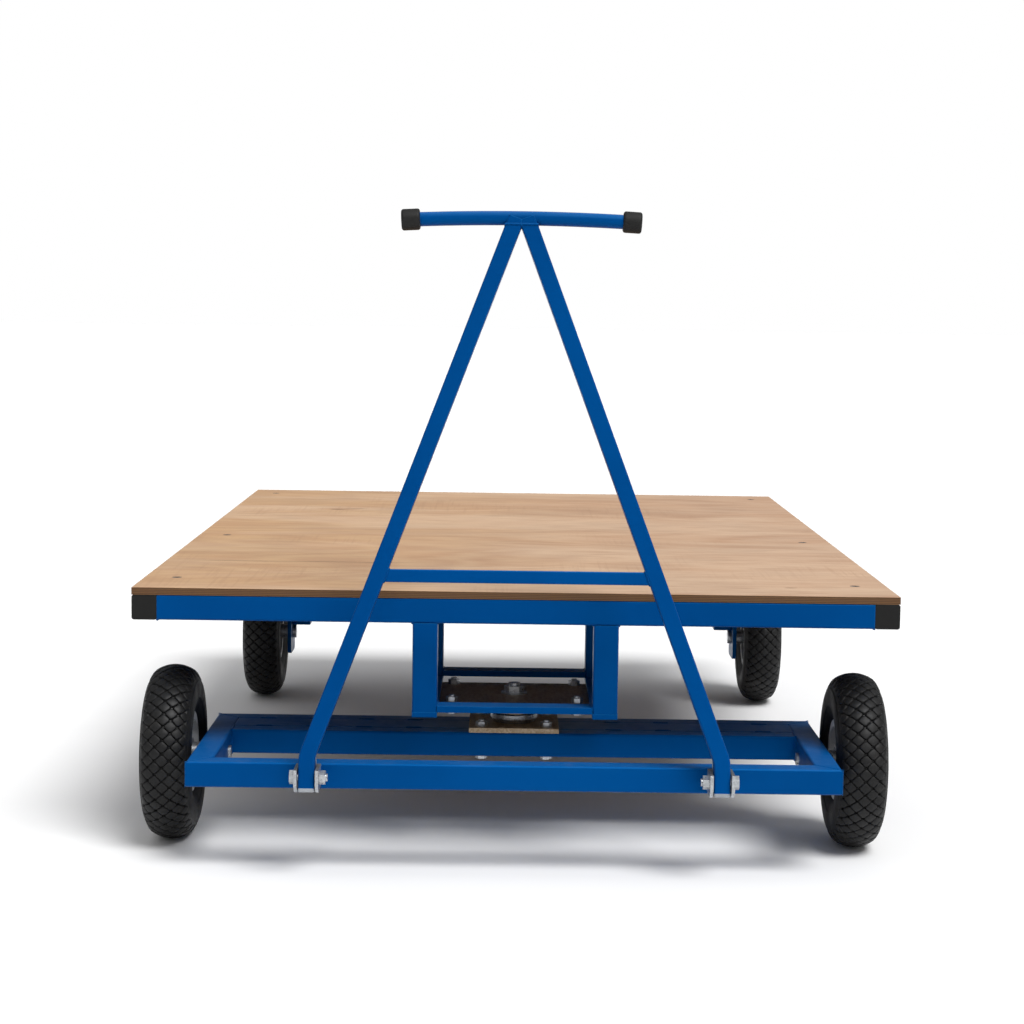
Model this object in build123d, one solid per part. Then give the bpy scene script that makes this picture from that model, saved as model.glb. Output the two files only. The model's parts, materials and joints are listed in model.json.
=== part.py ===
from build123d import *
import os
from math import cos, radians, sin, sqrt, tan

# Flatbed platform truck with a turntable-steered front bogie and a folding A-frame drawbar.
# Millimetres, +Z up, front (drawbar side) towards -Y.
# Lengths along Y are measured from the front face of the platform, and place() moves the
# whole truck so that the origin is on the floor, in the middle of its overall length.

# ---- platform ----
platform_width = 1220.0
platform_length = 1830.0
deck_height = 430.0
board_thickness = 12.0
board_edge_round = 1.2

# ---- square steel tube of the platform and of the bogie ----
tube_side = 40.0
tube_wall = 3.0
tube_corner = 4.0

end_cap_thickness = 3.0
end_cap_plug = 20.0
end_cap_clearance = 0.2

# ---- deck fixings ----
screw_inset_x = 53.0
screw_front_y = 134.0
screw_ahead_of_middle_rail = 124.0
screw_rear_inset = 92.0
screw_diameter = 8.0
screw_head_diameter = 16.0
screw_length = 26.0
screw_clearance = 0.2
screw_thread_clearance = 0.05
socket_across = 5.0
socket_depth = 2.5
tab_length = 60.0
tab_reach = 35.0
tab_thickness = 6.0

# ---- turntable frame under the front of the platform ----
post_gap = 248.0
rear_post_y = 350.0
runner_thickness = 8.0
tie_bar_thickness = 10.0
mounting_plate_thickness = 8.0
mounting_plate_depth = 200.0

# ---- turntable ----
kingpin_diameter = 20.0
kingpin_clearance = 0.08
race_bore_clearance = 0.05
kingpin_washer = 44.0
kingpin_washer_thickness = 3.0
kingpin_head_across = 30.0
kingpin_head_height = 12.5
kingpin_nut_height = 10.0
kingpin_tail = 5.0
head_play = 0.3
flange_side_gap = 6.0
flange_depth = 190.0
flange_thickness = 6.0
flange_bolt_inset = 20.0
flange_bolt_y = 85.0
ball_diameter = 10.0
ball_count = 16
ball_circle = 56.0
ball_seat_clearance = 0.05
ball_running_clearance = 0.3
race_gap = 4.0
lower_race_height = 14.5
upper_race_height = 14.5
lower_race_diameter = 80.0
lower_race_foot_diameter = 68.0
lower_race_foot_height = 7.0
upper_race_diameter = 92.0
small_bolt_diameter = 10.0
small_bolt_across = 17.0
small_bolt_head = 6.4
small_nut_height = 8.0
small_bolt_tail = 3.0
bolt_hole_clearance = 0.25

# ---- front bogie ----
bogie_side_inset = 100.0
bogie_front_y = -105.0
mid_beam_y = 162.0
lower_plate_width = 150.0
lower_plate_thickness = 8.0
lower_plate_bolt_x = 54.0
cover_thickness = 3.0
cover_hole = 60.0
beam_spacing = 68.0

# ---- wheels ----
wheel_diameter = 286.0
wheel_width = 84.0
front_wheel_gap = 8.0
rear_wheel_inset = 58.5
front_axle_y = 123.0
rear_axle_inset = 350.0
beam_above_axle = 9.0
axle_diameter = 20.0
axle_hole_clearance = 0.05
axle_running_clearance = 0.05
axle_side_play = 0.3
axle_collar = 30.0
axle_inner_stub = 4.0
axle_washer_diameter = 37.0
axle_washer_thickness = 2.5
axle_nut_across = 30.0
axle_nut_height = 9.0
hub_length = 60.0
hub_diameter = 50.0
hub_flange_diameter = 84.0
hub_flange_thickness = 6.0
bearing_diameter = 42.0
bearing_width = 12.0
bearing_fit = 0.05
hub_middle_bore = 30.0
rim_sheet = 2.5
rim_seat_radius = 55.7
rim_flange_radius = 65.0
rim_fit = 0.05
bead_radius = 56.0
bead_outer_x = 29.0
bead_width = 8.0
bead_gap = 0.35
bead_height = 12.0
tread_half_width = 31.0
shoulder_drop = 10.0
tread_thickness = 11.0
sidewall_thickness = 7.0
rim_bolt_count = 4
rim_bolt_circle = 68.0
rim_bolt_diameter = 8.0
rim_bolt_across = 13.0
rim_bolt_head = 5.3
rim_nut_height = 6.5
valve_diameter = 7.8
valve_length = 32.0
valve_radius = 44.0
valve_clearance = 0.25

# ---- rear wheel supports ----
rear_post_above_axle = 17.0
axle_plate_thickness = 8.0
axle_plate_width = 90.0
axle_plate_rise = 157.0
axle_plate_foot = 45.0
axle_plate_corner = 12.0
axle_plate_gap = 10.0
axle_head = 8.0

# ---- drawbar ----
hinge_spacing = 636.8
hinge_ahead = 36.0
hinge_below_beam_top = 14.0
drawbar_lean = 6.0
leg_side = 25.0
leg_wall = 2.5
leg_corner = 3.0
leg_below_pivot = 16.0
leg_bend_height = 32.0
leg_bend_radius = 45.0
grip_bar_height = 863.0
grip_bar_drop = 5.0
grip_bar_half_length = 185.0
grip_bar_diameter = 22.0
grip_bar_wall = 2.0
leg_top_offset = 7.8
cross_bar_height = 311.0
cross_bar_side = 20.0
cross_bar_wall = 2.0
cross_bar_corner = 2.5
grip_cap_diameter = 33.0
grip_cap_length = 29.0
grip_cap_end = 5.0
grip_cap_fit = 0.25
grip_cap_round = 4.0
leg_plug_thickness = 6.0
leg_plug_depth = 14.0
leg_plug_clearance = 0.2
ear_thickness = 5.0
ear_side_gap = 1.5
ear_front_reach = 19.0
ear_above_pivot = 14.0
ear_below_pivot = 22.0
ear_chamfer = 12.0
bracket_plate = 5.0
stop_tongue_width = 24.0
stop_tongue_rise = 18.0
stop_lip_thickness = 5.0
stop_gap = 0.4
hinge_bolt_diameter = 12.0
hinge_bolt_fit = 0.05
hinge_running_clearance = 0.08
hinge_bolt_across = 19.0
hinge_bolt_head = 7.5
hinge_nut_height = 10.0
hinge_bolt_tail = 3.0

# ---- worked out from the sizes above ----
frame_top = deck_height - board_thickness
frame_bottom = frame_top - tube_side
half_width = platform_width / 2
rail_inner_x = half_width - tube_side
wheel_radius = wheel_diameter / 2
rear_axle_y = platform_length - rear_axle_inset
rear_cross_y = rear_axle_y
turntable_cross_y = rear_post_y + tube_side / 2
middle_cross_y = (turntable_cross_y + rear_cross_y) / 2
screw_middle_y = middle_cross_y - screw_ahead_of_middle_rail
bogie_width = platform_width - 2 * bogie_side_inset
front_track = bogie_width + wheel_width + 2 * front_wheel_gap
rear_track = platform_width - 2 * rear_wheel_inset
post_x = post_gap / 2 + tube_side / 2
bogie_top = wheel_radius + tube_side / 2 + beam_above_axle
bogie_bottom = bogie_top - tube_side
rear_beam_y = mid_beam_y + tube_side + beam_spacing
bogie_rear_y = rear_beam_y + tube_side
kingpin_y = (mid_beam_y + bogie_rear_y) / 2
lower_plate_bolt_y = (rear_beam_y - mid_beam_y) / 2
lower_plate_top = bogie_top + lower_plate_thickness
lower_race_top = lower_plate_top + lower_race_height
upper_race_bottom = lower_race_top + race_gap
flange_bottom = upper_race_bottom + upper_race_height
plate_bottom = flange_bottom + flange_thickness
runner_bottom = plate_bottom + mounting_plate_thickness
post_bottom_z = runner_bottom + runner_thickness
flange_width = post_gap - 2 * flange_side_gap
flange_bolt_x = post_gap / 2 - flange_bolt_inset
ball_z = lower_race_top + race_gap / 2
hinge_y = bogie_front_y - hinge_ahead
hinge_z = bogie_top - hinge_below_beam_top
hinge_x = hinge_spacing / 2
bracket_front_y = hinge_y - ear_front_reach
ear_inner = leg_side / 2 + ear_side_gap
ear_outer = ear_inner + ear_thickness
origin_y = (platform_length + bracket_front_y) / 2
rear_plate_outer_x = rear_track / 2 - wheel_width / 2 - axle_plate_gap
rear_plate_inner_x = rear_plate_outer_x - axle_plate_thickness
rear_post_x = rear_plate_inner_x - tube_side / 2
rear_post_bottom_z = wheel_radius + rear_post_above_axle
axle_plate_top_z = wheel_radius + axle_plate_rise
# how far a cutter, or a shank inside its own head, runs past a face
overcut = 1.0

SIDES = (("left", -1), ("right", 1))


def block(x0, x1, y0, y1, z0, z1):
    box = Box(x1 - x0, y1 - y0, z1 - z0)
    return Pos((x0 + x1) / 2, (y0 + y1) / 2, (z0 + z1) / 2) * box


def square_tube(side, wall, corner, length):
    # stands on the XY plane, centred on Z
    outer = RectangleRounded(side, side, corner)
    inner = RectangleRounded(side - 2 * wall, side - 2 * wall, max(corner - wall, wall / 3))
    return extrude(outer - inner, length)


def tube_x(x0, x1, y, z):
    tube = square_tube(tube_side, tube_wall, tube_corner, x1 - x0)
    return Pos(x0, y, z) * Rot(0, 90, 0) * tube


def tube_y(x, y0, y1, z):
    tube = square_tube(tube_side, tube_wall, tube_corner, y1 - y0)
    return Pos(x, y0, z) * Rot(-90, 0, 0) * tube


def tube_z(x, y, z0, z1):
    return Pos(x, y, z0) * square_tube(tube_side, tube_wall, tube_corner, z1 - z0)


def rod_x(radius, x0, x1, y=0.0, z=0.0):
    rod = Cylinder(radius, x1 - x0)
    return Pos((x0 + x1) / 2, y, z) * Rot(0, 90, 0) * rod


def rod_z(radius, z0, z1, x=0.0, y=0.0):
    return Pos(x, y, (z0 + z1) / 2) * Cylinder(radius, z1 - z0)


def hexagon(across, height):
    # regular hexagon prism standing on the XY plane
    return extrude(RegularPolygon(across / sqrt(3), 6), height)


def hex_x(across, x0, x1, y=0.0, z=0.0):
    return Pos(x0, y, z) * Rot(0, 90, 0) * hexagon(across, x1 - x0)


def hex_z(across, z0, z1, x=0.0, y=0.0):
    return Pos(x, y, z0) * hexagon(across, z1 - z0)


def keep(shape, point, normal):
    # the part of the shape on the side of the plane that the normal points to
    reach = 4 * platform_length
    half = Box(reach, reach, reach, align=(Align.CENTER, Align.CENTER, Align.MIN))
    return shape & (Plane(origin=point, z_dir=normal) * half)


def mirrored(shape):
    return mirror(shape, about=Plane.YZ)


def both_sides(shape):
    return [mirrored(shape), shape]


# ---------------------------------------------------------------- platform

def deck_screw_places():
    ys = (screw_front_y, screw_middle_y, platform_length - screw_rear_inset)
    x = half_width - screw_inset_x
    return [(side * x, y) for y in ys for side in (-1, 1)]


def countersink(extra):
    # cone of the screw head and the shank below it, top at z = 0, opened out by extra
    head = screw_head_diameter / 2 + extra
    shank = screw_diameter / 2 + extra
    depth = head - shank
    profile = make_face(Polyline(
        (0, 0), (head, 0), (shank, -depth), (shank, -screw_length), (0, -screw_length), close=True))
    return revolve(Plane.XZ * profile, Axis.Z)


def deck_board():
    board = block(-half_width, half_width, 0, platform_length, frame_top, deck_height)
    board = fillet(board.edges().group_by(Axis.Z)[-1], board_edge_round)
    cutter = countersink(screw_clearance)
    for x, y in deck_screw_places():
        board -= Pos(x, y, deck_height) * cutter
    return [board]


def deck_screws():
    screw = countersink(0.0) - hex_z(socket_across, -socket_depth, 1)
    drop = screw_clearance
    return [Pos(x, y, deck_height - drop) * screw for x, y in deck_screw_places()]


def deck_tabs():
    # short flats welded to the side rails, tapped for the deck screws
    tabs = []
    for x, y in deck_screw_places():
        side = 1 if x > 0 else -1
        x_in = side * (rail_inner_x - tab_reach)
        x_out = side * rail_inner_x
        tab = block(min(x_in, x_out), max(x_in, x_out), y - tab_length / 2, y + tab_length / 2,
                    frame_top - tab_thickness, frame_top)
        hole = screw_diameter / 2 + screw_thread_clearance
        tabs.append(tab - rod_z(hole, frame_top - 2 * tab_thickness, deck_height, x, y))
    return tabs


def side_rail(side):
    x = side * (half_width - tube_side / 2)
    z = frame_top - tube_side / 2
    return [tube_y(x, end_cap_thickness, platform_length - end_cap_thickness, z)]


def cross_rail(y):
    return [tube_x(-rail_inner_x, rail_inner_x, y, frame_top - tube_side / 2)]


def rail_end_caps():
    plug_side = tube_side - 2 * tube_wall - 2 * end_cap_clearance
    face = RectangleRounded(tube_side, tube_side, tube_corner)
    cap = extrude(face, end_cap_thickness)
    cap = fillet(cap.edges().group_by(Axis.Z)[0], end_cap_thickness / 3)
    plug = RectangleRounded(plug_side, plug_side, tube_wall / 2)
    hollow = RectangleRounded(plug_side - 2 * tube_wall, plug_side - 2 * tube_wall, tube_wall / 3)
    cap += Pos(0, 0, end_cap_thickness) * extrude(plug - hollow, end_cap_plug)
    z = frame_top - tube_side / 2
    caps = []
    for _, side in SIDES:
        x = side * (half_width - tube_side / 2)
        caps.append(Pos(x, 0, z) * Rot(-90, 0, 0) * cap)
        caps.append(Pos(x, platform_length, z) * Rot(90, 0, 0) * cap)
    return caps


# ---------------------------------------------------------------- turntable frame

def turntable_posts(y):
    return both_sides(tube_z(post_x, y, post_bottom_z, frame_bottom))


def turntable_runners():
    runner = block(post_x - tube_side / 2, post_x + tube_side / 2, 0, rear_post_y + tube_side,
                   runner_bottom, post_bottom_z)
    return both_sides(runner)


def turntable_tie_bars():
    bars = []
    for y in (0, rear_post_y):
        bars.append(block(-post_gap / 2, post_gap / 2, y, y + tube_side,
                          post_bottom_z, post_bottom_z + tie_bar_thickness))
    return bars


def flange_bolt_places():
    return [(x, kingpin_y + y) for x in (-flange_bolt_x, flange_bolt_x)
            for y in (-flange_bolt_y, flange_bolt_y)]


def small_hole(x, y, z0, z1):
    return rod_z(small_bolt_diameter / 2 + bolt_hole_clearance, z0, z1, x, y)


def mounting_plate():
    half = post_x + tube_side / 2
    plate = block(-half, half, kingpin_y - mounting_plate_depth / 2,
                  kingpin_y + mounting_plate_depth / 2, plate_bottom, runner_bottom)
    plate -= rod_z(kingpin_diameter / 2 + race_bore_clearance, plate_bottom - overcut,
                   runner_bottom + overcut, 0, kingpin_y)
    for x, y in flange_bolt_places():
        plate -= small_hole(x, y, plate_bottom - overcut, runner_bottom + overcut)
    return [plate]


def through_bolts(places, grip_bottom, grip_top):
    # hex bolts pushed up from below, with a nut on the upper face
    solids = []
    radius = small_bolt_diameter / 2
    end = grip_top + small_nut_height + small_bolt_tail
    for x, y in places:
        bolt = hex_z(small_bolt_across, grip_bottom - small_bolt_head, grip_bottom, x, y)
        bolt += rod_z(radius, grip_bottom - small_bolt_head / 2, end, x, y)
        nut = hex_z(small_bolt_across, grip_top, grip_top + small_nut_height, x, y)
        nut -= rod_z(radius + screw_thread_clearance, grip_top - overcut, end, x, y)
        solids += [bolt, nut]
    return solids


def upper_race():
    flange = block(-flange_width / 2, flange_width / 2, kingpin_y - flange_depth / 2,
                   kingpin_y + flange_depth / 2, flange_bottom, plate_bottom)
    race = flange + rod_z(upper_race_diameter / 2, upper_race_bottom, flange_bottom, 0, kingpin_y)
    race -= ball_groove(ball_running_clearance)
    race -= rod_z(kingpin_diameter / 2 + race_bore_clearance, upper_race_bottom - overcut,
                  plate_bottom + overcut, 0, kingpin_y)
    for x, y in flange_bolt_places():
        race -= small_hole(x, y, flange_bottom - overcut, plate_bottom + overcut)
    return [race]


def lower_race():
    top = lower_race_diameter / 2
    foot = lower_race_foot_diameter / 2
    bore = kingpin_diameter / 2 + kingpin_clearance
    shoulder = lower_plate_top + lower_race_foot_height
    profile = make_face(Polyline(
        (bore, lower_plate_top), (foot, lower_plate_top), (top, shoulder),
        (top, lower_race_top), (bore, lower_race_top), close=True))
    race = Pos(0, kingpin_y, 0) * revolve(Plane.XZ * profile, Axis.Z)
    return [race - ball_groove(ball_seat_clearance)]


def ball_groove(clearance):
    return Pos(0, kingpin_y, ball_z) * Torus(ball_circle / 2, ball_diameter / 2 + clearance)


def turntable_balls():
    balls = []
    for index in range(ball_count):
        turn = Rot(0, 0, 360 * index / ball_count)
        balls.append(Pos(0, kingpin_y, ball_z) * turn * Pos(ball_circle / 2, 0, 0)
                     * Sphere(ball_diameter / 2))
    return balls


def kingpin():
    washer_top = bogie_top - head_play
    head_top = washer_top - kingpin_washer_thickness
    end = runner_bottom + kingpin_washer_thickness + kingpin_nut_height + kingpin_tail
    pin = rod_z(kingpin_washer / 2, head_top, washer_top, 0, kingpin_y)
    pin += hex_z(kingpin_head_across, head_top - kingpin_head_height, head_top, 0, kingpin_y)
    pin += rod_z(kingpin_diameter / 2, head_top, end, 0, kingpin_y)
    return [pin]


def kingpin_nut():
    washer_top = runner_bottom + kingpin_washer_thickness
    nut = rod_z(kingpin_washer / 2, runner_bottom, washer_top, 0, kingpin_y)
    nut += hex_z(kingpin_head_across, washer_top, washer_top + kingpin_nut_height, 0, kingpin_y)
    nut -= rod_z(kingpin_diameter / 2 + screw_thread_clearance, runner_bottom - overcut,
                 washer_top + kingpin_nut_height + overcut, 0, kingpin_y)
    return [nut]


# ---------------------------------------------------------------- bogie

def bogie_cross_beam(end_y, outward):
    # full-width beam, mitred at both ends into the side beams
    half = bogie_width / 2
    y = end_y - outward * tube_side / 2
    beam = tube_x(-half, half, y, bogie_top - tube_side / 2)
    beam = keep(beam, (half, end_y, 0), (-1, outward, 0))
    return [keep(beam, (-half, end_y, 0), (1, outward, 0))]


def bogie_side_beam(side):
    half = bogie_width / 2
    x = side * (half - tube_side / 2)
    beam = tube_y(x, bogie_front_y, bogie_rear_y, bogie_top - tube_side / 2)
    beam = keep(beam, (side * half, bogie_front_y, 0), (side, 1, 0))
    beam = keep(beam, (side * half, bogie_rear_y, 0), (side, -1, 0))
    hole = axle_diameter / 2 + axle_hole_clearance
    x0, x1 = sorted((x - tube_side, x + tube_side))
    return [beam - rod_x(hole, x0, x1, front_axle_y, wheel_radius)]


def lower_plate_bolt_places():
    return [(x, kingpin_y + y) for x in (-lower_plate_bolt_x, lower_plate_bolt_x)
            for y in (-lower_plate_bolt_y, lower_plate_bolt_y)]


def with_plate_bolt_holes(shape):
    for x, y in lower_plate_bolt_places():
        shape -= small_hole(x, y, bogie_bottom - overcut, lower_plate_top + overcut)
    return shape


def bogie_mid_beam():
    half = bogie_width / 2 - tube_side
    beam = tube_x(-half, half, mid_beam_y + tube_side / 2, bogie_top - tube_side / 2)
    return [with_plate_bolt_holes(beam)]


def bogie_rear_beam():
    return [with_plate_bolt_holes(bogie_cross_beam(bogie_rear_y, 1)[0])]


def bogie_cover_plate():
    half = bogie_width / 2 - tube_side
    cover = block(-half, half, mid_beam_y + tube_side, rear_beam_y,
                  bogie_top - cover_thickness, bogie_top)
    return [cover - rod_z(cover_hole / 2, bogie_top - 2 * cover_thickness, bogie_top + overcut,
                          0, kingpin_y)]


def lower_swivel_plate():
    half = lower_plate_width / 2
    plate = block(-half, half, mid_beam_y, bogie_rear_y, bogie_top, lower_plate_top)
    plate -= rod_z(kingpin_diameter / 2 + kingpin_clearance, bogie_top - overcut, lower_plate_top + overcut,
                   0, kingpin_y)
    return [with_plate_bolt_holes(plate)]


def hinge_brackets():
    # bent plate: back against the beam, two ears, and a tongue that stops the leg
    x = hinge_x
    back_front = bogie_front_y - bracket_plate
    bottom = hinge_z - ear_below_pivot
    top = hinge_z + ear_above_pivot
    bracket = block(x - ear_outer, x + ear_outer, back_front, bogie_front_y, bottom, top)
    for direction in (-1, 1):
        x0, x1 = sorted((x + direction * ear_inner, x + direction * ear_outer))
        ear = block(x0, x1, bracket_front_y, back_front, bottom, top)
        front_bottom = ear.edges().filter_by(Axis.X).group_by(Axis.Y)[0].sort_by(Axis.Z)[0]
        bracket += chamfer(front_bottom, ear_chamfer)
    lip_top = top + stop_tongue_rise
    half = stop_tongue_width / 2
    bracket += block(x - half, x + half, back_front, bogie_front_y, top, lip_top)
    lean = radians(drawbar_lean)
    leg_back_y = hinge_y + tan(lean) * (lip_top - hinge_z) + leg_side / 2 / cos(lean)
    bracket += block(x - half, x + half, leg_back_y + stop_gap, bogie_front_y,
                     lip_top - stop_lip_thickness, lip_top)
    hole = hinge_bolt_diameter / 2 + hinge_bolt_fit
    bracket -= rod_x(hole, x - 2 * ear_outer, x + 2 * ear_outer, hinge_y, hinge_z)
    return both_sides(bracket)


def hinge_bolts():
    head_x = hinge_x + ear_outer
    nut_x = hinge_x - ear_outer
    radius = hinge_bolt_diameter / 2
    end_x = nut_x - hinge_nut_height - hinge_bolt_tail
    bolt = hex_x(hinge_bolt_across, head_x, head_x + hinge_bolt_head, hinge_y, hinge_z)
    bolt += rod_x(radius, end_x, head_x + hinge_bolt_head / 2, hinge_y, hinge_z)
    nut = hex_x(hinge_bolt_across, nut_x - hinge_nut_height, nut_x, hinge_y, hinge_z)
    nut -= rod_x(radius + screw_thread_clearance, end_x - overcut, nut_x + overcut, hinge_y, hinge_z)
    return both_sides(bolt) + both_sides(nut)


# ---------------------------------------------------------------- axles and wheels

def wheel_centre(side, front):
    if front:
        return (side * front_track / 2, front_axle_y, wheel_radius)
    return (side * rear_track / 2, rear_axle_y, wheel_radius)


def stub_axle(start_x, face_x, centre_x):
    # collar against the frame, then the plain journal out to the end of the nut
    hub_in = centre_x - hub_length / 2
    end = centre_x + hub_length / 2 + axle_side_play + axle_washer_thickness + axle_nut_height
    axle = rod_x(axle_diameter / 2, start_x, end)
    return axle + rod_x(axle_collar / 2, face_x, hub_in - axle_side_play)


def front_axles():
    face = bogie_width / 2
    axle = stub_axle(face - tube_side - axle_inner_stub, face, front_track / 2)
    return both_sides(Pos(0, front_axle_y, wheel_radius) * axle)


def rear_axles():
    axle = stub_axle(rear_plate_inner_x - axle_head, rear_plate_outer_x, rear_track / 2)
    axle += rod_x(axle_collar / 2, rear_plate_inner_x - axle_head, rear_plate_inner_x)
    return both_sides(Pos(0, rear_axle_y, wheel_radius) * axle)


def axle_nuts(track, y):
    x0 = track / 2 + hub_length / 2 + axle_side_play
    x1 = x0 + axle_washer_thickness
    washer = rod_x(axle_washer_diameter / 2, x0, x1)
    nut = hex_x(axle_nut_across, x1, x1 + axle_nut_height)
    hole = rod_x(axle_diameter / 2 + screw_thread_clearance, x0 - overcut, x1 + axle_nut_height + overcut)
    solids = []
    for shape in (washer - hole, nut - hole):
        solids += both_sides(Pos(0, y, wheel_radius) * shape)
    return solids


def tyre(centre):
    shoulder = wheel_radius - shoulder_drop
    bead_top = bead_radius + bead_height
    middle = (bead_top + shoulder) / 2
    outer = wheel_width / 2
    inner_x = outer - sidewall_thickness
    inner_shoulder = (tread_half_width - sidewall_thickness, shoulder - sidewall_thickness)
    crown = wheel_radius - tread_thickness
    bead_in = (bead_outer_x - bead_width, bead_radius)
    outline = [
        Line((bead_outer_x, bead_radius), (bead_outer_x, bead_top)),
        ThreePointArc((bead_outer_x, bead_top), (outer, middle), (tread_half_width, shoulder)),
        ThreePointArc((tread_half_width, shoulder), (0, wheel_radius), (-tread_half_width, shoulder)),
        ThreePointArc((-tread_half_width, shoulder), (-outer, middle), (-bead_outer_x, bead_top)),
        Line((-bead_outer_x, bead_top), (-bead_outer_x, bead_radius)),
        Line((-bead_outer_x, bead_radius), (-bead_in[0], bead_radius)),
        ThreePointArc((-bead_in[0], bead_radius), (-inner_x, middle),
                      (-inner_shoulder[0], inner_shoulder[1])),
        ThreePointArc((-inner_shoulder[0], inner_shoulder[1]), (0, crown), inner_shoulder),
        ThreePointArc(inner_shoulder, (inner_x, middle), bead_in),
        Line(bead_in, (bead_outer_x, bead_radius)),
    ]
    return [Pos(*centre) * revolve(make_face(outline), Axis.X)]


def sheet_ring(points):
    # a ring of constant sheet thickness, turned about X from its middle line
    line = Polyline(*points)
    face = make_face(offset(line, rim_sheet / 2, kind=Kind.INTERSECTION, side=Side.BOTH))
    return revolve(face, Axis.X)


def rim_bolt_places():
    turns = [360 * (index + 0.5) / rim_bolt_count for index in range(rim_bolt_count)]
    radius = rim_bolt_circle / 2
    return [(radius * cos(radians(turn)), radius * sin(radians(turn))) for turn in turns]


def rim(centre, side):
    disc_x = hub_flange_thickness / 2 + rim_fit + rim_sheet / 2
    seat = rim_seat_radius - rim_sheet / 2
    flange_x = bead_outer_x + bead_gap + rim_sheet / 2
    seat_start = disc_x + seat - hub_flange_diameter / 2
    half = sheet_ring([
        (disc_x, hub_diameter / 2 + rim_fit + rim_sheet / 2), (disc_x, hub_flange_diameter / 2),
        (seat_start, seat), (flange_x, seat), (flange_x, rim_flange_radius)])
    hole = rim_bolt_diameter / 2 + bolt_hole_clearance
    for y, z in rim_bolt_places():
        half -= rod_x(hole, 0, 2 * disc_x, y, z)
    outer_half = half - rod_x(valve_diameter / 2 + valve_clearance, 0, flange_x, 0, valve_radius)
    valve = rod_x(valve_diameter / 2, disc_x, disc_x + valve_length, 0, valve_radius)
    solids = [outer_half, mirrored(half), valve]
    face = disc_x + rim_sheet / 2
    for y, z in rim_bolt_places():
        bolt = hex_x(rim_bolt_across, face, face + rim_bolt_head, y, z)
        bolt += rod_x(rim_bolt_diameter / 2, -face - rim_nut_height, face + overcut, y, z)
        bolt += hex_x(rim_bolt_across, -face - rim_nut_height, -face, y, z)
        solids.append(bolt)
    if side < 0:
        solids = [mirrored(solid) for solid in solids]
    return [Pos(*centre) * solid for solid in solids]


def hub(centre):
    half = hub_length / 2
    barrel = rod_x(hub_diameter / 2, -half, half)
    barrel += rod_x(hub_flange_diameter / 2, -hub_flange_thickness / 2, hub_flange_thickness / 2)
    barrel -= rod_x(hub_middle_bore / 2, -half - overcut, half + overcut)
    for direction in (-1, 1):
        x0, x1 = sorted((direction * (half - bearing_width), direction * (half + overcut)))
        barrel -= rod_x(bearing_diameter / 2 + bearing_fit, x0, x1)
    hole = rim_bolt_diameter / 2 + bolt_hole_clearance
    for y, z in rim_bolt_places():
        barrel -= rod_x(hole, -hub_flange_thickness, hub_flange_thickness, y, z)
    return [Pos(*centre) * barrel]


def wheel_bearings(centre):
    half = hub_length / 2
    solids = []
    for direction in (-1, 1):
        x0, x1 = sorted((direction * (half - bearing_width), direction * half))
        ring = rod_x(bearing_diameter / 2, x0, x1)
        ring -= rod_x(axle_diameter / 2 + axle_running_clearance, x0 - overcut, x1 + overcut)
        solids.append(Pos(*centre) * ring)
    return solids


def rear_wheel_posts():
    return both_sides(tube_z(rear_post_x, rear_axle_y, rear_post_bottom_z, frame_bottom))


def rear_axle_plates():
    bottom = wheel_radius - axle_plate_foot
    half = axle_plate_width / 2
    plate = block(rear_plate_inner_x, rear_plate_outer_x, rear_axle_y - half, rear_axle_y + half,
                  bottom, axle_plate_top_z)
    plate = fillet(plate.edges().filter_by(Axis.X), axle_plate_corner)
    hole = axle_diameter / 2 + axle_hole_clearance
    plate -= rod_x(hole, rear_plate_inner_x - overcut, rear_plate_outer_x + overcut,
                   rear_axle_y, wheel_radius)
    return both_sides(plate)


# ---------------------------------------------------------------- drawbar
# built upright in the XZ plane with the hinge axis on X, then leaned back onto its stops

def drawbar_place(shape):
    return Pos(0, hinge_y, hinge_z) * Rot(-drawbar_lean, 0, 0) * shape


def grip_bar_path(half_length):
    # shallow arc through the middle of the bar, grip_bar_drop lower at its full half length
    radius = (grip_bar_half_length ** 2 + grip_bar_drop ** 2) / (2 * grip_bar_drop)
    drop = radius - sqrt(radius ** 2 - half_length ** 2)
    end_z = grip_bar_height - drop
    return ThreePointArc((-half_length, 0, end_z), (0, 0, grip_bar_height), (half_length, 0, end_z))


def grip_bar_solid(radius, half_length):
    path = grip_bar_path(half_length)
    return sweep(Plane(origin=path @ 0, z_dir=path % 0) * Circle(radius), path)


def grip_bar():
    half = grip_bar_half_length - grip_cap_end - grip_cap_fit
    outer = grip_bar_solid(grip_bar_diameter / 2, half)
    inner = grip_bar_solid(grip_bar_diameter / 2 - grip_bar_wall, half)
    return [drawbar_place(outer - inner)]


def grip_caps():
    path = grip_bar_path(grip_bar_half_length)
    cap = Cylinder(grip_cap_diameter / 2, grip_cap_length, align=(Align.CENTER, Align.CENTER, Align.MIN))
    cap = fillet(cap.edges().filter_by(GeomType.CIRCLE), grip_cap_round)
    bore = grip_bar_diameter / 2 + grip_cap_fit
    cap -= rod_z(bore, grip_cap_end, grip_cap_length + overcut)
    right = Plane(origin=path @ 1, z_dir=-(path % 1)) * cap
    return [drawbar_place(shape) for shape in both_sides(right)]


def leg_path():
    bottom = (hinge_x, 0, -leg_below_pivot)
    bend = (hinge_x, 0, leg_bend_height)
    top = (leg_top_offset, 0, grip_bar_height)
    return FilletPolyline(bottom, bend, top, radius=leg_bend_radius)


def leg_sweep(side, corner):
    path = leg_path()
    section = Plane(origin=path @ 0, x_dir=(1, 0, 0), z_dir=path % 0)
    return sweep(section * RectangleRounded(side, side, corner), path)


def leg_trimmed(shape):
    shape = keep(shape, (0, 0, 0), (1, 0, 0))
    return shape - grip_bar_solid(grip_bar_diameter / 2, grip_bar_half_length / 2)


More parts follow.
